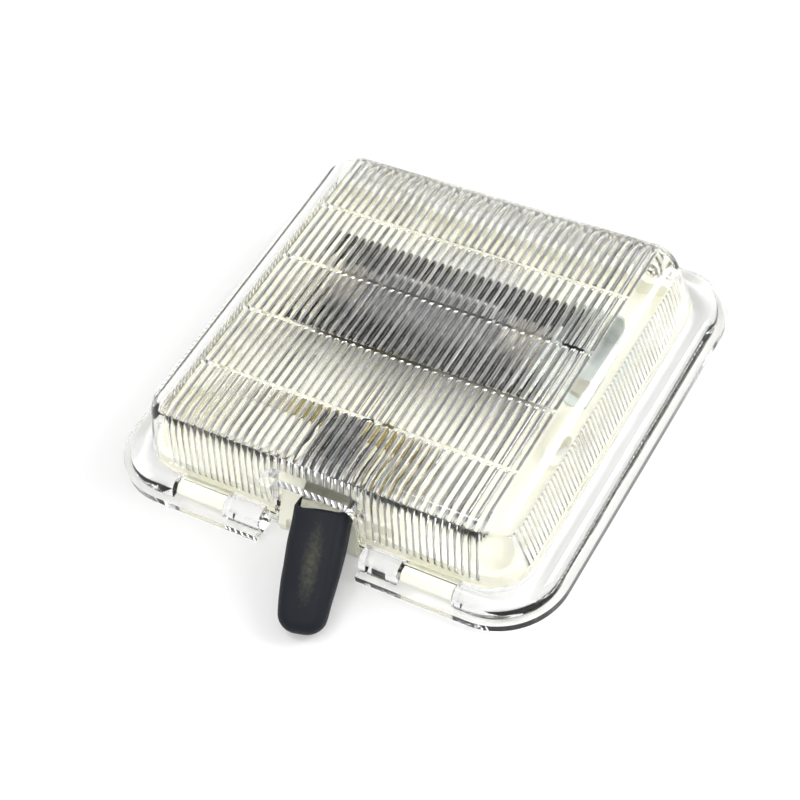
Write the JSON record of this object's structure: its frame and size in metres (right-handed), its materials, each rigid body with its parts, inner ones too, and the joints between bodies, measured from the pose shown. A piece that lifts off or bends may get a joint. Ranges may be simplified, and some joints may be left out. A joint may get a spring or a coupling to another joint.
{
  "type": "car dome light",
  "caption": "Square car ceiling light: a ribbed clear lens snaps over a tray with a festoon bulb between brass clips and a sleeved lever switch that swings in a front notch.",
  "frame": {"origin": "centre of the mounting face, where the lens rim and the tray's underside lie in one plane", "axes": "+X to the right along the front edge, -Y to the front where the lever comes out, +Z from the mounting face to the ribbed lens"},
  "size_m": [0.08, 0.09, 0.015],
  "materials": {
    "clear_acrylic": "clear moulded acrylic, polished outside, ribbed inside",
    "cream_abs": "moulded cream ABS, satin",
    "reflector_tinplate": "folded tinplate, dulled",
    "bulb_glass": "clear drawn glass",
    "cap_nickel": "nickel plated, satin",
    "tungsten": "coiled wire, dull",
    "sheet_brass": "stamped sheet, lightly tarnished",
    "blued_steel": "blued spring steel, oiled",
    "black_phenolic": "moulded black phenolic, satin",
    "zinc_steel": "zinc plated strip, faintly olive",
    "black_vinyl": "soft dipped vinyl, satin"
  },
  "bodies": {
    "housing": {"lens": "clear_acrylic", "base_tray": "cream_abs", "reflector": "reflector_tinplate", "bulb_glass": "bulb_glass", "bulb_cap_left": "cap_nickel", "bulb_cap_right": "cap_nickel", "filament": "tungsten", "clip_left": "sheet_brass", "clip_right": "zinc_steel", "contact_left": "sheet_brass", "contact_right": "sheet_brass", "tray_rivets": "sheet_brass", "pivot_pin": "blued_steel", "pivot_spacer": "sheet_brass", "pivot_washer": "blued_steel"},
    "lever": {"switch_rotor": "black_phenolic", "lever_stem": "zinc_steel", "lever_sleeve": "black_vinyl", "wiper": "sheet_brass", "rotor_rivets": "blued_steel"}
  },
  "joints": [
    {"name": "lever_swing", "type": "hinge", "parent": "housing", "child": "lever", "pos_m": [0, -0.02424, 0.0065], "axis": [0, 0, 1], "range_deg": [-28.8, 0]}
  ]
}
